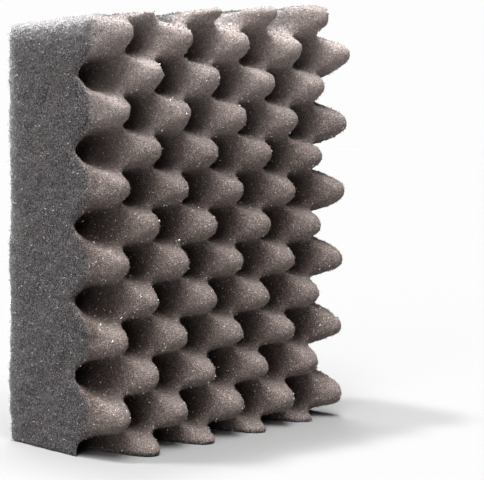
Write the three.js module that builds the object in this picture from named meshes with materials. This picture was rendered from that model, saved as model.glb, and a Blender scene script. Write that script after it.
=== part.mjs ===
// A block of grey open-cell acoustic foam that stands on its lower edge.
// The back is flat. The front is a field of rounded cones with narrower pits between them.
// Millimetres. +X runs along the block from its left end, +Y points to the back, +Z is up.
import * as THREE from 'three';
import { toCreasedNormals } from 'three/addons/utils/BufferGeometryUtils.js';

// Block
const panelThickness = 100;   // flat back to cone tips
const panelLength = 183;      // along the lower edge
const leftHeight = 241;       // straight up from the lower edge to the top of the left end
const endLean = 2.8;          // degrees that both ends lean towards +X, the cone columns with them
const topRise = 3.9;          // degrees that the top edge climbs from the left end to the right

// Cones
const conePitch = 41.6;       // one cone to the next in its row, and one row to the next but one
const coneHeight = 54;        // floor of a pit to the tip of a cone
const tipBlunting = 3;        // how far the flanks' own point would stand out beyond the blunt tip
const firstConeIn = 30.2;     // axis of the first cone of the lowest row, in from the left end
const firstConeUp = 2.8;      // the same axis, up from the lower left corner

// How full a cone's flank is, how soft its steepest part is, and how far the ridges between cones are raised
const flankShares = { bulge: 0.7, ease: 0.3, ridge: 0.27 };

// Fineness and shading of the surface
const stepsPerPitch = 12;
const creaseFrom = 50;        // degrees between two facets from which the edge shades as a cut edge

// Colour of the foam
const foamColour = '#635d5b';
const foamRoughness = 1;

const leanSlope = Math.tan(THREE.MathUtils.degToRad(endLean));
const riseSlope = Math.tan(THREE.MathUtils.degToRad(topRise));
const alongRow = new THREE.Vector2(1, -leanSlope).normalize();
const alongColumn = new THREE.Vector2(leanSlope, 1).normalize();

// Height of the block above a point of the lower edge, followed along the lean of the ends.
function heightFrom(distance) {
  return leftHeight + distance * riseSlope / (1 - leanSlope * riseSlope);
}

const rightHeight = heightFrom(panelLength);
const overallLength = panelLength + rightHeight * leanSlope;

// Level of the foam's surface: 1 on a cone's tip, -1 in the floor of a pit, 0 halfway.
function surfaceLevel(point) {
  const across = point.dot(alongRow) - firstConeIn;
  const up = point.dot(alongColumn) - firstConeUp;
  const rowWave = Math.cos(2 * Math.PI * across / conePitch);
  const columnWave = Math.cos(2 * Math.PI * up / conePitch);
  const ridge = flankShares.ridge * (1 - (rowWave * rowWave + columnWave * columnWave) / 2);
  const wave = rowWave * columnWave + ridge;
  const fullness = (1 + flankShares.ease) / (wave * wave + flankShares.ease);
  return wave * fullness ** ((1 - flankShares.bulge) / 2);
}

// Height of the flanks with their own point, before a hyperbola with tipBlunting as half axis blunts the tip.
const flankHeight = Math.sqrt(coneHeight * (coneHeight + 2 * tipBlunting));

function depthBehindTips(point) {
  const flankDepth = flankHeight * (1 - surfaceLevel(point)) / 2;
  return Math.hypot(flankDepth, tipBlunting) - tipBlunting;
}

// Grid over the front. Its rows run from the lower edge to the top edge, its columns from end to end.
const columns = Math.ceil(stepsPerPitch * panelLength / conePitch);
const rows = Math.ceil(stepsPerPitch * rightHeight / conePitch);
const backY = panelThickness / 2;
const outline = new THREE.Vector2();

function gridOutline(column, row) {
  const distance = panelLength * column / columns;
  const height = heightFrom(distance) * row / rows;
  return outline.set(distance + height * leanSlope, height);
}

const positions = [];
const triangles = [];

function addPoint(x, y, z) {
  positions.push(x - overallLength / 2, y, z);
  return positions.length / 3 - 1;
}

const front = [];
for (let row = 0; row <= rows; row += 1) {
  front.push([]);
  for (let column = 0; column <= columns; column += 1) {
    const at = gridOutline(column, row);
    front[row].push(addPoint(at.x, depthBehindTips(at) - backY, at.y));
  }
}

function depthOf(index) {
  return positions[3 * index + 1];
}

// Each cell of the front is split along the diagonal whose ends lie closest in depth.
for (let row = 0; row < rows; row += 1) {
  for (let column = 0; column < columns; column += 1) {
    const lowLeft = front[row][column];
    const lowRight = front[row][column + 1];
    const highLeft = front[row + 1][column];
    const highRight = front[row + 1][column + 1];
    const rising = Math.abs(depthOf(lowLeft) - depthOf(highRight));
    const falling = Math.abs(depthOf(highLeft) - depthOf(lowRight));
    if (rising <= falling) {
      triangles.push(lowLeft, lowRight, highRight, lowLeft, highRight, highLeft);
    } else {
      triangles.push(lowLeft, lowRight, highLeft, lowRight, highRight, highLeft);
    }
  }
}

// Border of the front, once round: lower edge, right end, top edge, left end.
const border = [];
for (let column = 0; column < columns; column += 1) border.push([column, 0]);
for (let row = 0; row < rows; row += 1) border.push([columns, row]);
for (let column = columns; column > 0; column -= 1) border.push([column, rows]);
for (let row = rows; row > 0; row -= 1) border.push([0, row]);

const backBorder = border.map(([column, row]) => {
  const at = gridOutline(column, row);
  return addPoint(at.x, backY, at.y);
});
const middle = gridOutline(columns / 2, rows / 2);
const backMiddle = addPoint(middle.x, backY, middle.y);

border.forEach(([column, row], here) => {
  const next = (here + 1) % border.length;
  const [nextColumn, nextRow] = border[next];
  const frontHere = front[row][column];
  const frontNext = front[nextRow][nextColumn];
  triangles.push(frontHere, backBorder[here], backBorder[next]);
  triangles.push(frontHere, backBorder[next], frontNext);
  triangles.push(backMiddle, backBorder[next], backBorder[here]);
});

const geometry = new THREE.BufferGeometry();
geometry.setAttribute('position', new THREE.Float32BufferAttribute(positions, 3));
geometry.setIndex(triangles);
const shadedGeometry = toCreasedNormals(geometry, THREE.MathUtils.degToRad(creaseFrom));

const foamMaterial = new THREE.MeshStandardMaterial({
  color: foamColour,
  roughness: foamRoughness,
  metalness: 0,
});
const foamPanel = new THREE.Mesh(shadedGeometry, foamMaterial);
foamPanel.name = 'foam_panel';

const part = new THREE.Group();
part.name = 'acoustic_foam_panel';
part.add(foamPanel);

export default part;
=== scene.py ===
import math

import bpy
import numpy as np
from mathutils import Matrix, Vector, noise


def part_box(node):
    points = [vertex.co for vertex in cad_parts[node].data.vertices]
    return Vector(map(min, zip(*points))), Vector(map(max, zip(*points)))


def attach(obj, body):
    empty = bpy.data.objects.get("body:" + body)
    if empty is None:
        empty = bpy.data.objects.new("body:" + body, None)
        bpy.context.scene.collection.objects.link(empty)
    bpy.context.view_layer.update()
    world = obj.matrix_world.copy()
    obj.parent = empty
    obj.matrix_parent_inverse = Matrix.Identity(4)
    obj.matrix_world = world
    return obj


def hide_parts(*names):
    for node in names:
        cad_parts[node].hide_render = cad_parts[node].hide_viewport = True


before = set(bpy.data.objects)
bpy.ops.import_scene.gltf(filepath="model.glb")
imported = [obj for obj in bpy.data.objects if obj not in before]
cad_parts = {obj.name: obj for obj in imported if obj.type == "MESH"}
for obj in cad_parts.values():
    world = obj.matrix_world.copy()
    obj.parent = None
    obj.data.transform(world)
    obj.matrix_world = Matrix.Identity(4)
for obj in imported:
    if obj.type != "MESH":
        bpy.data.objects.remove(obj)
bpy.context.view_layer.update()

# A block of open-cell acoustic foam that stands on its lower edge, on a white floor.
# Metres. +X runs along the block from its left end, +Y points to the flat back, +Z is up.

MM = 0.001
NODE = "foam_panel"

# Block and cones, the same sizes as the CAD solid
LEFT_HEIGHT = 241 * MM
PANEL_LENGTH = 183 * MM
END_LEAN = math.radians(2.8)
TOP_RISE = math.radians(3.9)
CONE_PITCH = 41.6 * MM
CONE_HEIGHT = 54 * MM
TIP_BLUNTING = 3 * MM               # how far the flanks' own point would stand out beyond the blunt tip
FIRST_CONE_IN = 30.2 * MM
FIRST_CONE_UP = 2.8 * MM
FLANK_BULGE = 0.7                   # how full a cone's flank is
FLANK_EASE = 0.3                    # how soft its steepest part is
RIDGE_RISE = 0.27                   # how far the ridges between cones are raised
LEAN_SLOPE = math.tan(END_LEAN)
RISE_SLOPE = math.tan(TOP_RISE)

# How far the hand-cut block differs from a true one
FRONT_PUSH = 0.3 * MM               # how far the middle of the front stands forward
FRONT_TILT = 0.8 * MM               # how far its upper edge leans forward, and its lower edge back
FRONT_TWIST = 1.4 * MM              # how far two opposite corners stand forward, and the other two back
FRONT_BOW = 2.8 * MM                # how far its upper and lower edges stand forward of its middle
BACK_IN = 1.2 * MM                  # how far the middle of the back stands in
BACK_TILT = 2.0 * MM                # how far its upper edge leans out, and its lower edge in
TOP_DIP = 2.4 * MM                  # how far the upper edge sinks where it crosses a pit
TOP_DIP_REACH = 25 * MM             # how far down that is felt
DIP_SHARE = 0.35                    # share of the cone height where it begins, and over which it grows

# Rounding of the cut edges
FRONT_END_ROUNDING = 5.0 * MM       # of the front along the two ends
CONE_END_ROUNDING = 12.0 * MM       # the same where the left cut runs through a cone
CONE_END_SHARE = 0.5                # share of the cone height down to which this one goes
CONE_END_BLEND = 8 * MM             # change of depth over which it passes into the other
FRONT_TOP_ROUNDING = 3.5 * MM       # of the cones that the upper cut runs through
FRONT_FOOT_ROUNDING = 1.2 * MM      # of the cones that the lower cut runs through
BACK_END_ROUNDING = 1.2 * MM
BACK_EDGE_ROUNDING = 2.2 * MM

# Mesh of the surface
GRID_STEP = 1.3 * MM                # spacing of the points that it is first drawn with
VOXEL = 1.8 * MM                    # spacing of the finished points
BLOCK_SPARE = 8 * MM                # how far past the CAD box the foam may stand
STRUT_SPARE = 9 * MM                # the same for its loose struts
SEED_SHIFT = Vector((3.7, 1.3, 8.1))
# height and length of the slow waves of hand-cut foam, of lumps, and of torn cells
WAVES = [
    (1.1 * MM, 34 * MM),
    (0.5 * MM, 11 * MM),
    (0.55 * MM, 3.6 * MM),
]

# Where the colours change, and where light and shade are painted into them
CUT_SKIN = 1.6 * MM                 # how deep under the ends and the top the foam may be to count as cut
CUT_BLEND = 1.1 * MM                # over which it passes into the skin
FOOT_SKIN = 2.5 * MM                # the same over the floor
FOOT_BLEND = 1.5 * MM
FACE_SKIN = 6 * MM                  # the same for foam that faces up or back
FACE_TURN = 0.5                     # how squarely it must face there
FACE_BLEND = 0.3
TIP_SKIN = 14 * MM                  # depth behind the tips down to which the moulded skin hides the cut
TIP_BLEND = 9 * MM
TIP_FALL = 2.2                      # how fast the light through a tip fades with the depth behind it
TOP_PIT_SHADE = 0.35                # how strong the painted pit shade is at the upper edge, against the other pits
TOP_PIT_REACH = 30 * MM
GLOW_REACH = 130 * MM               # how far below the upper edge the light comes through
BACK_RIM = 4.5 * MM                 # how far in from the back edges the foam is painted pale, for backlight through its loose cells
TOP_RIM = 6.5 * MM                  # the same below the upper edge
TIP_RIM = 0.05                      # share of that rim at the cone tips
FULL_RIM_SHARE = 0.5                # share of the cone height behind them where it is whole

# Loose struts of the open cells, which stand up from the surface
STRUT_COUNT = 46000
STRUT_SEED = 11
STRUT_LENGTH = 1.25 * MM
STRUT_LENGTH_SHARES = (0.6, 1.3)
STRUT_WIDTH = 0.17 * MM             # half of its thickness
STRUT_WIDTH_SHARES = (0.7, 1.3)
STRUT_TILT = 55                     # degrees that the steepest one stands up
STRUT_SUNK = 0.3                    # share of its length that lies behind its place on the surface
STRUT_LIFT = 0.1 * MM
DULL_SHARE = 0.93                   # the rest of the struts catch the light
SHINY_WIDTH = 1.8                   # how much thicker those are
RIM_STRUTS = 6                      # how many more struts the rims have, against the rest
RIM_FRINGE = 1.5                    # how much longer they are there
BACK_STRUTS = 0.1                   # what share of them the plain back has
BACK_TURN = 0.8                     # how squarely foam must face back to count as the plain back

# Grain of the foam
CELL = 1.15 * MM
CELL_EDGE = (0.2, 0.04)             # from the open middle of a cell to its strut, in cells from the edge
GRAIN = 1.5 * MM                    # size of the spots in which the struts are bright or dull
GRAIN_SPAN = (0.3, 0.6)
DULLEST = 0.35
GRAIN_DEPTH = 0.4 * MM
GRAIN_STRENGTH = 0.7
PATCH_SIZE = 12 * MM                # size of the areas of an even tone
PATCH_SPAN = (0.35, 0.65)
PATCH_SHARE = 0.12
SPARK_CELL = 1.6 * MM
SPARK_SHARE = 0.14                  # share of these cells that hold a spark
SPARK_EDGE = (0.26, 0.18)           # from outside a spark to its full brightness, in cells
SPARK_FADE = 0.02                   # share of the cells whose spark is fainter
LUCK_FADE = 0.01                    # share of the struts that are half bright
CUT_SPARKS = 0.45                   # how bright the sparks are on the cut faces, against the cones
LIGHT_DEPTH = 3 * MM                # how far light runs inside the foam

# Colours of the foam: the dark of the cells and the light of the struts, and the painted light and shade
CUT_DARK = (0.018, 0.016, 0.017, 1)
CUT_LIGHT = (0.275, 0.255, 0.262, 1)
SKIN_DARK = (0.127, 0.090, 0.077, 1)
SKIN_LIGHT = (0.428, 0.35, 0.321, 1)
BACKLIT_RIM_DARK = (0.58, 0.56, 0.57, 1)    # painted backlight through the loose cells along the edges
BACKLIT_RIM_LIGHT = (0.97, 0.955, 0.96, 1)
GLOW_DARK = (0.38, 0.316, 0.296, 1)     # of thin foam that the light comes through
GLOW_LIGHT = (0.755, 0.655, 0.622, 1)
PATCH = (0.19, 0.157, 0.146, 1)
# painted glints of struts that catch the light
SPARK = (0.95, 0.93, 0.91, 1)
# colour of the painted shade in the pits
PIT_SHADE_COLOUR = (0.029, 0.0125, 0.0095, 1)
SHEEN = (1.0, 0.95, 0.93, 1)
PIT_SHADE = 0.73                    # share of the painted pit shade colour in the pits
PIT_SPAN = (0.12, 0.62)             # shares of the cone height behind the tips between which it sets in
TIP_GLOW = 0.4                      # share of the glow on the tips
TOP_GLOW = 0.95                     # share of the glow near the upper edge
TOP_GLOW_FULL = 0.8                 # share of the way up GLOW_REACH where that is reached
STRUT_RIM_SPAN = (0.1, 0.6)         # shares of rim between which the struts are painted pale with backlight

# Camera, as the photo was taken
CAMERA_PLACE = (-0.55208, -0.66605, 0.17188)
CAMERA_TURN = math.radians(41.981)      # from +Y towards +X
CAMERA_DIP = math.radians(3.952)        # below level
CAMERA_ROLL = math.radians(-1.312)
CAMERA_LENS = 107.18
SENSOR_WIDTH = 36
CAMERA_NEAR = 0.01
CAMERA_FAR = 100

# Floor and light
FLOOR_HALF = 20.0
WHITE = 0.982                       # the white of the photo's background
FLOOR_BOUNCE = 0.15                 # what the floor gives back to the foam
WORLD_LIGHT = 0.05
# name, turn from -Y towards -X and height over the floor in degrees, light on a floor, spread in degrees
LAMPS = [
    ("front_lamp", 30, 62, 0.616, 35),
    ("overhead_lamp", 0, 89, 0.456, 35),
    ("left_lamp", 60, 24, 0.082, 40),
]
# name, where it throws the shadow of a point, light on a floor, spread in degrees
BACK_LAMPS = [
    ("back_left_lamp", (40, -70, -254), 0.48, 6),
    ("back_right_lamp", (-42, -60, -254), 0.36, 12),
]


def share_of(values, whole):
    return np.clip(values / whole, 0, 1)


def between(low, high, share):
    return low + (high - low) * share


def fading(distance, reach):
    """1 at no distance, and less and less beyond it."""
    return np.exp(-np.maximum(distance, 0) / reach)


def rounding(inset, radius):
    """How far the surface draws back at this inset from a cut edge that is rounded with this radius."""
    missing = np.clip(radius - inset, 0, radius)
    return radius - np.sqrt(radius ** 2 - missing ** 2)


def height_from(distance):
    """Height of the block above a point of the lower edge, followed along the lean of the ends."""
    return LEFT_HEIGHT + distance * RISE_SLOPE / (1 - LEAN_SLOPE * RISE_SLOPE)


def surface_level(x, z):
    """1 on a cone's tip, -1 in the floor of a pit. x is measured from the lower left corner."""
    across = x * math.cos(END_LEAN) - z * math.sin(END_LEAN) - FIRST_CONE_IN
    up = x * math.sin(END_LEAN) + z * math.cos(END_LEAN) - FIRST_CONE_UP
    row_wave = np.cos(2 * math.pi * across / CONE_PITCH)
    column_wave = np.cos(2 * math.pi * up / CONE_PITCH)
    wave = row_wave * column_wave + RIDGE_RISE * (1 - (row_wave ** 2 + column_wave ** 2) / 2)
    fullness = (1 + FLANK_EASE) / (wave * wave + FLANK_EASE)
    return wave * fullness ** ((1 - FLANK_BULGE) / 2)


def depth_behind_tips(x, z):
    """The flanks fall over a height of their own, and a hyperbola rounds them off at the tip."""
    flank_height = math.sqrt(CONE_HEIGHT * (CONE_HEIGHT + 2 * TIP_BLUNTING))
    return np.hypot(flank_height * (1 - surface_level(x, z)) / 2, TIP_BLUNTING) - TIP_BLUNTING


def forward(along, up):
    """How far the front stands forward of its plane, at these shares of the length and the height."""
    side, rise = 2 * along - 1, 2 * up - 1
    return FRONT_PUSH + FRONT_TILT * rise + FRONT_TWIST * side * rise + FRONT_BOW * rise ** 2


def top_dip(depth, below):
    """How far the front sinks at this depth behind the tips and this distance below its upper edge."""
    in_pit = share_of(depth - CONE_HEIGHT * DIP_SHARE, CONE_HEIGHT * DIP_SHARE)
    return TOP_DIP * in_pit * share_of(TOP_DIP_REACH - below, TOP_DIP_REACH)


def front_rounding(depth, distance, from_end, from_top, z):
    """How far the cut edges of the front draw back, most where the left cut runs through a cone."""
    on_cone = share_of(CONE_HEIGHT * CONE_END_SHARE - depth, CONE_END_BLEND) * (distance < PANEL_LENGTH / 2)
    end_radius = between(FRONT_END_ROUNDING, CONE_END_ROUNDING, on_cone)
    edges = np.maximum(rounding(from_top, FRONT_TOP_ROUNDING), rounding(z, FRONT_FOOT_ROUNDING))
    return np.maximum(rounding(from_end, end_radius), edges)


def back_rounding(from_end, from_top, z):
    """How far the cut edges of the back draw in."""
    edges = rounding(np.minimum(z, from_top), BACK_EDGE_ROUNDING)
    return np.maximum(rounding(from_end, BACK_END_ROUNDING), edges)


def closed_faces(rows, columns):
    """Faces of a front grid and of a back grid that follows it, and the walls round their border."""
    index = np.arange(rows * columns).reshape(rows, columns)
    quads = np.stack([index[:-1, :-1], index[:-1, 1:], index[1:, 1:], index[1:, :-1]], axis=-1)
    quads = quads.reshape(-1, 4)
    ring = np.concatenate([index[0, :-1], index[:-1, -1], index[-1, :0:-1], index[:0:-1, 0]])
    after = np.roll(ring, -1)
    walls = np.stack([ring, ring + index.size, after + index.size, after], axis=-1)
    return np.concatenate([quads, quads[:, ::-1] + index.size, walls])


def block_surface():
    """Points and faces of the closed block: a front grid, a back grid and the walls between them."""
    lowest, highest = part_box(NODE)
    columns = math.ceil(PANEL_LENGTH / GRID_STEP) + 1
    rows = math.ceil(height_from(PANEL_LENGTH) / GRID_STEP) + 1
    distance = PANEL_LENGTH * np.linspace(0, 1, columns)[None, :]
    up = np.linspace(0, 1, rows)[:, None]
    height = height_from(distance) * up
    x = distance + height * LEAN_SLOPE
    z = height + 0 * distance
    depth = depth_behind_tips(x, z)
    below = height_from(distance) - height
    from_top = below * math.cos(TOP_RISE)
    from_end = np.minimum(distance, PANEL_LENGTH - distance) * math.cos(END_LEAN) + 0 * z
    front = lowest.y + depth + front_rounding(depth, distance, from_end, from_top, z)
    front = front - forward(distance / PANEL_LENGTH, up)
    back = highest.y - BACK_IN + BACK_TILT * (2 * up - 1)
    back = back - back_rounding(from_end, from_top, z)
    front_points = np.stack([x + lowest.x, front, z - top_dip(depth, below)], axis=-1)
    back_points = np.stack([x + lowest.x, back, z], axis=-1)
    points = np.concatenate([front_points.reshape(-1, 3), back_points.reshape(-1, 3)])
    return points, closed_faces(rows, columns)


def new_mesh(name, points, faces):
    mesh = bpy.data.meshes.new(name)
    mesh.from_pydata(points.tolist(), [], faces.tolist())
    mesh.update()
    piece = bpy.data.objects.new(name, mesh)
    bpy.context.scene.collection.objects.link(piece)
    return piece


def apply_modifiers(piece):
    graph = bpy.context.evaluated_depsgraph_get()
    finished = bpy.data.meshes.new_from_object(piece.evaluated_get(graph))
    piece.modifiers.clear()
    piece.data = finished


def remesh(piece, voxel):
    modifier = piece.modifiers.new("even_mesh", "REMESH")
    modifier.mode = "VOXEL"
    modifier.voxel_size = voxel
    modifier.adaptivity = 0
    modifier.use_smooth_shade = True
    apply_modifiers(piece)


def points_of(mesh):
    values = np.empty(len(mesh.vertices) * 3, dtype=np.float32)
    mesh.vertices.foreach_get("co", values)
    return values.reshape(-1, 3).astype(float)


def normals_of(mesh):
    values = np.empty(len(mesh.vertices) * 3, dtype=np.float32)
    mesh.vertex_normals.foreach_get("vector", values)
    return values.reshape(-1, 3).astype(float)


def write_points(mesh, points):
    mesh.vertices.foreach_set("co", points.ravel())
    mesh.update()


def write_numbers(mesh, name, values):
    mesh.attributes.new(name, "FLOAT", "POINT").data.foreach_set("value", values.astype(np.float32))


def read_numbers(mesh, name):
    values = np.empty(len(mesh.vertices), dtype=np.float32)
    mesh.attributes[name].data.foreach_get("value", values)
    return values


def keep_in_box(mesh, spare):
    """Holds the points above the floor, and within this distance of the CAD box on its other sides."""
    lowest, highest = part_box(NODE)
    low = np.array(lowest) - spare
    low[2] = lowest.z
    write_points(mesh, np.clip(points_of(mesh), low, np.array(highest) + spare))


def smooth_field(points, wavelength, shift):
    """Smooth random numbers, about -1 to 1, that change over one wavelength."""
    return np.array([noise.noise(Vector(p) / wavelength + shift) for p in points])


def roughen(mesh):
    """Moves the points along their normals."""
    points = points_of(mesh)
    push = np.zeros(len(points))
    for turn, (height, wavelength) in enumerate(WAVES, start=1):
        push += height * smooth_field(points, wavelength, SEED_SHIFT * turn)
    write_points(mesh, points + normals_of(mesh) * push[:, None])


def inset_from_ends(points):
    """How far in the points lie from the nearer of the two cut ends."""
    lowest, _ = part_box(NODE)
    from_left = (points[:, 0] - lowest.x) * math.cos(END_LEAN) - points[:, 2] * math.sin(END_LEAN)
    return np.minimum(from_left, PANEL_LENGTH * math.cos(END_LEAN) - from_left)


def drop_from_top(points):
    """How far straight below the cut top the points lie."""
    lowest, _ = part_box(NODE)
    top = LEFT_HEIGHT + (points[:, 0] - lowest.x - LEFT_HEIGHT * LEAN_SLOPE) * RISE_SLOPE
    return top - points[:, 2]


def facing(normals, axis, inset):
    """1 on foam that faces along this axis and lies close under that face."""
    return share_of(normals[:, axis] - FACE_TURN, FACE_BLEND) * (inset < FACE_SKIN)


def cut_share(points, behind_tips, on_top, on_back):
    """1 on the flat cut faces and 0 on the moulded skin of the cones."""
    from_cut = np.minimum(inset_from_ends(points), drop_from_top(points) * math.cos(TOP_RISE))
    near_cut = share_of(CUT_SKIN - from_cut, CUT_BLEND)
    near_floor = share_of(FOOT_SKIN - points[:, 2], FOOT_BLEND)
    cut = np.maximum(near_cut, on_top) * share_of(behind_tips - TIP_SKIN, TIP_BLEND)
    return np.maximum(cut, np.maximum(near_floor, on_back))


def backlit_rim_share(points, depth, inside, on_top, on_back):
    """1 on the loose cells along the back and top edges, where backlight through them is painted as pale
    colour, less and less further in.
    """
    back_rim = fading(inside, BACK_RIM) * (1 - on_back)
    fringe = between(TIP_RIM, 1, share_of(depth, FULL_RIM_SHARE))
    top_rim = fading(drop_from_top(points), TOP_RIM) * (1 - on_top) * fringe
    end_rim = fading(inset_from_ends(points), BACK_RIM) * np.maximum(on_top, on_back)
    return np.maximum(end_rim, np.maximum(back_rim, top_rim))


def mark_surface(mesh):
    """Stores what the colours follow: cut faces, pits for painted shade, tips and nearness to the top for
    painted light through thin foam, and rims for painted backlight.
    """
    points = points_of(mesh)
    normals = normals_of(mesh)
    lowest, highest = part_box(NODE)
    behind_tips = points[:, 1] - lowest.y
    inside = highest.y - points[:, 1]
    drop = drop_from_top(points)
    on_top = facing(normals, 2, drop)
    on_back = facing(normals, 1, inside)
    cut = cut_share(points, behind_tips, on_top, on_back)
    depth = share_of(behind_tips, CONE_HEIGHT)
    write_numbers(mesh, "cut", cut)
    # where the painted shade of the pits goes, weaker near the upper edge
    write_numbers(mesh, "pit", depth * (1 - cut) * between(TOP_PIT_SHADE, 1, share_of(drop, TOP_PIT_REACH)))
    # where painted light through the thin tips and the top goes
    write_numbers(mesh, "tip", np.clip(1 - TIP_FALL * depth, 0, 1))
    write_numbers(mesh, "top", 1 - share_of(drop, GLOW_REACH))
    # where the pale colour of painted backlight goes
    write_numbers(mesh, "backlit_rim", backlit_rim_share(points, depth, inside, on_top, on_back))


def make_foam(material):
    points, faces = block_surface()
    piece = new_mesh("foam_block", points, faces)
    remesh(piece, VOXEL)
    mark_surface(piece.data)
    roughen(piece.data)
    keep_in_box(piece.data, BLOCK_SPARE)
    piece.data.polygons.foreach_set("use_smooth", [True] * len(piece.data.polygons))
    piece.data.materials.clear()
    piece.data.materials.append(material)
    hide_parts(NODE)
    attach(piece, "root")
    return piece


def unit(vectors):
    return vectors / np.linalg.norm(vectors, axis=-1, keepdims=True)


def triangles_of(mesh):
    """Corner points of the mesh's triangles, and their row numbers."""
    mesh.calc_loop_triangles()
    corners = np.empty(len(mesh.loop_triangles) * 3, dtype=np.int32)
    mesh.loop_triangles.foreach_get("vertices", corners)
    corners = corners.reshape(-1, 3)
    return points_of(mesh)[corners], corners


def strut_chance(across, backlit_rim):
    """Chance of each triangle to carry a strut: by its area, more on a rim and less on the plain back."""
    area = np.linalg.norm(across, axis=1) / 2
    plain_back = across[:, 1] > 2 * BACK_TURN * area
    chance = area * (1 + RIM_STRUTS * backlit_rim) * np.where(plain_back, BACK_STRUTS, 1)
    return chance / chance.sum()


def strut_bars(foam):
    """Four points for each strut, which is a thin bar with crossed chisel ends, and its numbers."""
    draw = np.random.default_rng(STRUT_SEED)
    corners, rows = triangles_of(foam)
    numbers = {name: read_numbers(foam, name)[rows].mean(axis=1) for name in ("cut", "pit", "backlit_rim")}
    across = np.cross(corners[:, 1] - corners[:, 0], corners[:, 2] - corners[:, 0])
    picked = draw.choice(len(rows), STRUT_COUNT, p=strut_chance(across, numbers["backlit_rim"]))
    luck = draw.uniform(0, 1, STRUT_COUNT)
    share = draw.dirichlet((1, 1, 1), STRUT_COUNT)
    place = (corners[picked] * share[:, :, None]).sum(axis=1)
    normal = unit(across[picked])
    flat = unit(np.cross(normal, unit(draw.normal(size=(STRUT_COUNT, 3)))))
    tilt = np.radians(draw.uniform(0, STRUT_TILT, STRUT_COUNT))[:, None]
    along = flat * np.cos(tilt) + normal * np.sin(tilt)
    side = unit(np.cross(along, normal))
    over = np.cross(side, along)
    numbers = {name: values[picked] for name, values in numbers.items()}
    length = STRUT_LENGTH * draw.uniform(*STRUT_LENGTH_SHARES, STRUT_COUNT)
    length = (length * (1 + RIM_FRINGE * numbers["backlit_rim"]))[:, None]
    width = STRUT_WIDTH * draw.uniform(*STRUT_WIDTH_SHARES, STRUT_COUNT)
    width = (width * np.where(luck > DULL_SHARE, SHINY_WIDTH, 1))[:, None]
    foot = place - along * length * STRUT_SUNK
    tip = place + along * length * (1 - STRUT_SUNK) + normal * STRUT_LIFT
    ends = [foot - side * width, foot + side * width, tip - over * width, tip + over * width]
    return np.stack(ends, axis=1), {**numbers, "luck": luck}


def make_struts(foam, material):
    bars, numbers = strut_bars(foam)
    first = 4 * np.arange(STRUT_COUNT)[:, None, None]
    faces = (first + np.array([[0, 1, 2], [1, 0, 3], [2, 3, 0], [3, 2, 1]])).reshape(-1, 3)
    piece = new_mesh("foam_struts", bars.reshape(-1, 3), faces)
    for name, values in numbers.items():
        write_numbers(piece.data, name, np.repeat(values, 4))
    keep_in_box(piece.data, STRUT_SPARE)
    piece.data.materials.append(material)
    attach(piece, "root")


class Nodes:
    """Short ways to add shader nodes and link them."""

    def __init__(self, owner):
        owner.use_nodes = True
        self.tree = owner.node_tree
        self.tree.nodes.clear()

    def add(self, kind, inputs=None, **settings):
        node = self.tree.nodes.new(kind)
        for key, value in settings.items():
            setattr(node, key, value)
        for key, value in (inputs or {}).items():
            self.put(node.inputs[key], value)
        return node

    def put(self, socket, value):
        if isinstance(value, bpy.types.NodeSocket):
            self.tree.links.new(value, socket)
        else:
            socket.default_value = value

    def math(self, operation, *values):
        node = self.add("ShaderNodeMath", operation=operation)
        for socket, value in zip(node.inputs, values):
            self.put(socket, value)
        return node.outputs[0]

    def ramp(self, value, start, end, low=0.0, high=1.0):
        """A soft step from low to high between these two values."""
        node = self.add("ShaderNodeMapRange", interpolation_type="SMOOTHSTEP", inputs={
            "Value": value, "From Min": start, "From Max": end, "To Min": low, "To Max": high})
        return node.outputs["Result"]

    def mix(self, share, first, second):
        """A mix of two colours, whose sockets have no names of their own and so go by number."""
        node = self.add("ShaderNodeMix", data_type="RGBA")
        self.put(node.inputs["Factor"], share)
        self.put(node.inputs[6], first)
        self.put(node.inputs[7], second)
        return node.outputs[2]

    def noise(self, place, size, detail=2.0):
        node = self.add("ShaderNodeTexNoise", inputs={"Vector": place, "Scale": 1 / size, "Detail": detail})
        return node.outputs["Fac"]

    def cells(self, place, size, feature="F1", output="Distance"):
        node = self.add("ShaderNodeTexVoronoi", feature=feature, inputs={"Vector": place, "Scale": 1 / size})
        return node.outputs[output]

    def numbers(self, *names):
        """The numbers of these names that are stored with the mesh."""
        return [self.add("ShaderNodeAttribute", attribute_name=name).outputs["Fac"] for name in names]


def grey(level):
    return (level, level, level, 1.0)


def foam_relief(nodes, place):
    """1 on the struts between the cells, 0 in the middle of a cell."""
    edge = nodes.cells(place, CELL, feature="DISTANCE_TO_EDGE")
    grain = nodes.ramp(nodes.noise(place, GRAIN, 1.0), *GRAIN_SPAN, DULLEST, 1.0)
    return nodes.math("MULTIPLY", nodes.ramp(edge, *CELL_EDGE), grain)


def sparks(nodes, place):
    """1 on the painted glints of the few struts that catch the light."""
    near = nodes.ramp(nodes.cells(place, SPARK_CELL), *SPARK_EDGE)
    colour = nodes.cells(place, SPARK_CELL, output="Color")
    lot = nodes.add("ShaderNodeSeparateColor", inputs={"Color": colour}).outputs[0]
    drawn = nodes.ramp(lot, 1 - SPARK_SHARE, 1 - SPARK_SHARE + SPARK_FADE)
    return nodes.math("MULTIPLY", near, drawn)


def duller_on_cut(nodes, glint, cut):
    """The same sparks, less bright on the cut faces."""
    return nodes.math("MULTIPLY", glint, nodes.ramp(cut, 0.0, 1.0, 1.0, CUT_SPARKS))


def painted_pit_shade(nodes, pit, colour):
    """This colour, with painted shade darkening it in the pits."""
    return nodes.mix(nodes.ramp(pit, *PIT_SPAN, 0.0, PIT_SHADE), colour, PIT_SHADE_COLOUR)


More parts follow.
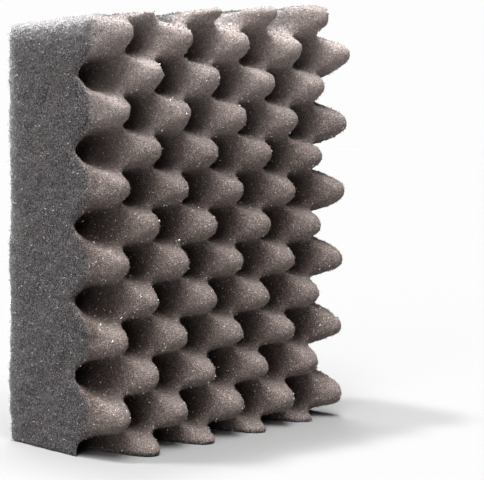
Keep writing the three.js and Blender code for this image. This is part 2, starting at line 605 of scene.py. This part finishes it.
def foam_colour(nodes, place, relief):
    """Brown cones and grey cut faces, with painted shade in the pits, and painted light that makes them
    paler near the tips, the top and along the rims.
    """
    cut, pit, tip, top, backlit_rim = nodes.numbers("cut", "pit", "tip", "top", "backlit_rim")
    through_tip = nodes.ramp(tip, 0.0, 1.0, 0.0, TIP_GLOW)
    through_top = nodes.ramp(top, 0.0, TOP_GLOW_FULL, 0.0, TOP_GLOW)
    glow = nodes.math("MAXIMUM", through_tip, through_top)
    skin = nodes.mix(relief, nodes.mix(glow, SKIN_DARK, GLOW_DARK), nodes.mix(glow, SKIN_LIGHT, GLOW_LIGHT))
    colour = nodes.mix(cut, skin, nodes.mix(relief, CUT_DARK, CUT_LIGHT))
    patch = nodes.ramp(nodes.noise(place, PATCH_SIZE), *PATCH_SPAN, 0.0, PATCH_SHARE)
    colour = nodes.mix(patch, colour, PATCH)
    colour = painted_pit_shade(nodes, pit, colour)
    # painted backlight: pale colour along the rims
    colour = nodes.mix(backlit_rim, colour, nodes.mix(relief, BACKLIT_RIM_DARK, BACKLIT_RIM_LIGHT))
    return nodes.mix(duller_on_cut(nodes, sparks(nodes, place), cut), colour, SPARK)


def foam_material():
    material = bpy.data.materials.new("open_cell_foam")
    nodes = Nodes(material)
    place = nodes.add("ShaderNodeTexCoord").outputs["Object"]
    relief = foam_relief(nodes, place)
    bump = nodes.add("ShaderNodeBump", inputs={
        "Height": relief, "Distance": GRAIN_DEPTH, "Strength": GRAIN_STRENGTH})
    shader = nodes.add("ShaderNodeBsdfPrincipled", inputs={
        "Base Color": foam_colour(nodes, place, relief),
        "Roughness": nodes.ramp(relief, 0.0, 1.0, 1.0, 0.8),
        "Specular IOR Level": 0.12,
        "Sheen Weight": 0.18,
        "Sheen Roughness": 0.4,
        "Sheen Tint": SHEEN,
        "Subsurface Weight": 0.4,
        "Subsurface Radius": (1.0, 0.85, 0.8),
        "Subsurface Scale": LIGHT_DEPTH,
        "Normal": bump.outputs["Normal"],
    })
    nodes.add("ShaderNodeOutputMaterial", inputs={"Surface": shader.outputs["BSDF"]})
    return material


def strut_material():
    """The foam's colours with its painted shade and painted pale rims, painted white glints on the struts
    that catch the light, and a hard gloss on those same struts.
    """
    material = bpy.data.materials.new("foam_struts")
    nodes = Nodes(material)
    cut, pit, backlit_rim, luck = nodes.numbers("cut", "pit", "backlit_rim", "luck")
    skin = nodes.mix(luck, SKIN_DARK, SKIN_LIGHT)
    colour = nodes.mix(cut, skin, nodes.mix(luck, CUT_DARK, CUT_LIGHT))
    colour = nodes.mix(nodes.ramp(backlit_rim, *STRUT_RIM_SPAN), colour, BACKLIT_RIM_LIGHT)
    glint = duller_on_cut(nodes, nodes.ramp(luck, DULL_SHARE, DULL_SHARE + LUCK_FADE), cut)
    colour = nodes.mix(glint, colour, SPARK)
    shader = nodes.add("ShaderNodeBsdfPrincipled", inputs={
        "Base Color": painted_pit_shade(nodes, pit, colour),
        "Roughness": 0.3,
        "Specular IOR Level": 0.6,
        "Sheen Weight": 0.15,
        "Sheen Roughness": 0.45,
        "Coat Weight": glint,
        "Coat Roughness": 0.15,
        "Coat IOR": 2.4,
    })
    nodes.add("ShaderNodeOutputMaterial", inputs={"Surface": shader.outputs["BSDF"]})
    return material


def seen_rays(nodes):
    """1 for rays that see the surroundings, straight or in a mirror or a glass, and 0 for their light."""
    rays = nodes.add("ShaderNodeLightPath").outputs
    mirrored = nodes.math("MAXIMUM", rays["Is Glossy Ray"], rays["Is Transmission Ray"])
    return nodes.math("MAXIMUM", rays["Is Camera Ray"], mirrored)


def floor_light():
    """What all the lamps and the world throw on a floor."""
    return WORLD_LIGHT + sum(lamp[3] for lamp in LAMPS) + sum(lamp[2] for lamp in BACK_LAMPS)


def floor_material():
    """White as it is seen, and duller for the light that it gives back."""
    material = bpy.data.materials.new("white_floor")
    nodes = Nodes(material)
    colour = nodes.mix(seen_rays(nodes), grey(FLOOR_BOUNCE), grey(WHITE / floor_light()))
    shader = nodes.add("ShaderNodeBsdfDiffuse", inputs={"Color": colour})
    nodes.add("ShaderNodeOutputMaterial", inputs={"Surface": shader.outputs["BSDF"]})
    return material


def make_floor():
    corners = FLOOR_HALF * np.array([(-1, -1, 0), (1, -1, 0), (1, 1, 0), (-1, 1, 0)])
    floor = new_mesh("floor", corners, np.array([[0, 1, 2, 3]]))
    floor.data.materials.append(floor_material())


def make_world():
    world = bpy.data.worlds.new("soft_white")
    bpy.context.scene.world = world
    nodes = Nodes(world)
    around = nodes.add("ShaderNodeBackground", inputs={"Color": grey(1.0), "Strength": WORLD_LIGHT})
    seen = nodes.add("ShaderNodeBackground", inputs={"Color": grey(1.0), "Strength": WHITE})
    both = nodes.add("ShaderNodeMixShader", inputs={"Fac": seen_rays(nodes)})
    nodes.put(both.inputs[1], around.outputs[0])
    nodes.put(both.inputs[2], seen.outputs[0])
    nodes.add("ShaderNodeOutputWorld", inputs={"Surface": both.outputs[0]})


def make_sun(name, shadow_shift, strength, spread):
    """A distant lamp that throws the shadow of a point this way and gives a floor this much light."""
    light = bpy.data.lights.new(name, "SUN")
    direction = Vector(shadow_shift)
    light.energy = math.pi * strength / abs(direction.normalized().z)
    light.angle = math.radians(spread)
    lamp = bpy.data.objects.new(name, light)
    lamp.rotation_mode = "QUATERNION"
    lamp.rotation_quaternion = direction.to_track_quat("-Z", "Y")
    bpy.context.scene.collection.objects.link(lamp)


def make_lights():
    make_world()
    for name, turn, height, strength, spread in LAMPS:
        turn, height = math.radians(turn), math.radians(height)
        make_sun(name, (math.sin(turn), math.cos(turn), -math.tan(height)), strength, spread)
    for name, shadow_shift, strength, spread in BACK_LAMPS:
        make_sun(name, shadow_shift, strength, spread)


def make_camera():
    camera = bpy.data.cameras.new("photo_camera")
    camera.lens = CAMERA_LENS
    camera.sensor_width = SENSOR_WIDTH
    camera.clip_start = CAMERA_NEAR
    camera.clip_end = CAMERA_FAR
    holder = bpy.data.objects.new("photo_camera", camera)
    turn = (Matrix.Rotation(-CAMERA_TURN, 4, "Z")
            @ Matrix.Rotation(math.radians(90) - CAMERA_DIP, 4, "X")
            @ Matrix.Rotation(CAMERA_ROLL, 4, "Z"))
    holder.matrix_world = Matrix.Translation(CAMERA_PLACE) @ turn
    bpy.context.scene.collection.objects.link(holder)
    bpy.context.scene.camera = holder


bpy.context.scene.view_settings.view_transform = "Standard"
make_camera()
foam_block = make_foam(foam_material())
make_struts(foam_block.data, strut_material())
make_floor()
make_lights()
